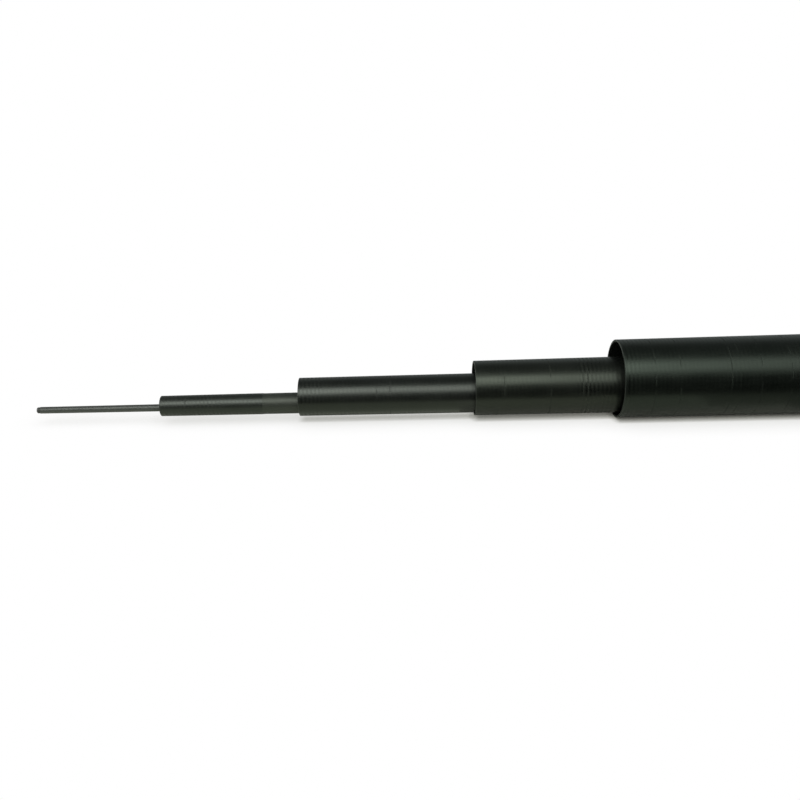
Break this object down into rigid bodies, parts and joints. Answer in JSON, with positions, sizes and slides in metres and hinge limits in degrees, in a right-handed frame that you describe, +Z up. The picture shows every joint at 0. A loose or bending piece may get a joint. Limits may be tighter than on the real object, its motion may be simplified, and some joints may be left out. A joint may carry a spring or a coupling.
{
  "type": "coarse fishing pole",
  "caption": "Telescopic coarse fishing pole of nested, tapered carbon tubes, drawn part way out, with a bushed tip and a screwed, knurled butt cap.",
  "frame": {"origin": "centre of the butt cap's flat outer face", "axes": "+X along the pole from the tip to the butt, out of the butt cap; +Z up, with the lower side of the butt section level on the table at z = -0.0262"},
  "size_m": [1.5388, 0.0524, 0.0524],
  "materials": {
    "carbon": "satin black lacquer over wound carbon, fine tape ridges",
    "ground_carbon": "ground matt carbon, dark grey",
    "bush_plastic": "matt",
    "anodised": "black anodised, satin",
    "rubber": "matt"
  },
  "bodies": {
    "butt": {"butt_section": "carbon", "butt_ferrule": "anodised"},
    "fourth": {"fourth_section": "carbon"},
    "third": {"third_section": "carbon"},
    "second": {"second_section": "ground_carbon"},
    "tip": {"tip_section": "ground_carbon", "tip_bush": "bush_plastic"},
    "cap_seals": {"cap_pad": "rubber", "cap_o_ring": "rubber"},
    "cap": {"butt_cap": "anodised"}
  },
  "joints": [
    {"name": "fourth_slide", "type": "slide", "parent": "butt", "child": "fourth", "axis": [-1, 0, 0], "range_m": [-0.063, 1.0184]},
    {"name": "third_slide", "type": "slide", "parent": "fourth", "child": "third", "axis": [-1, 0.0015, 0.0003], "range_m": [-0.0822, 1.0292]},
    {"name": "second_slide", "type": "slide", "parent": "third", "child": "second", "axis": [-1, 0.0015, 0.0003], "range_m": [-0.063, 1.0784]},
    {"name": "tip_slide", "type": "slide", "parent": "second", "child": "tip", "axis": [-1, 0.0015, 0.0003], "range_m": [-0.0547, 1.1167]},
    {"name": "cap_travel", "type": "slide", "parent": "butt", "child": "cap_seals", "axis": [1, 0, 0], "range_m": [0, 0.012]},
    {"name": "cap_turn", "type": "hinge", "parent": "cap_seals", "child": "cap", "pos_m": [0, 0, 0], "axis": [1, 0, 0], "range_deg": [0, 1440]}
  ],
  "couplings": [
    {"joint": "cap_travel", "follows": "cap_turn", "m_per_rad": 0.00047745}
  ]
}
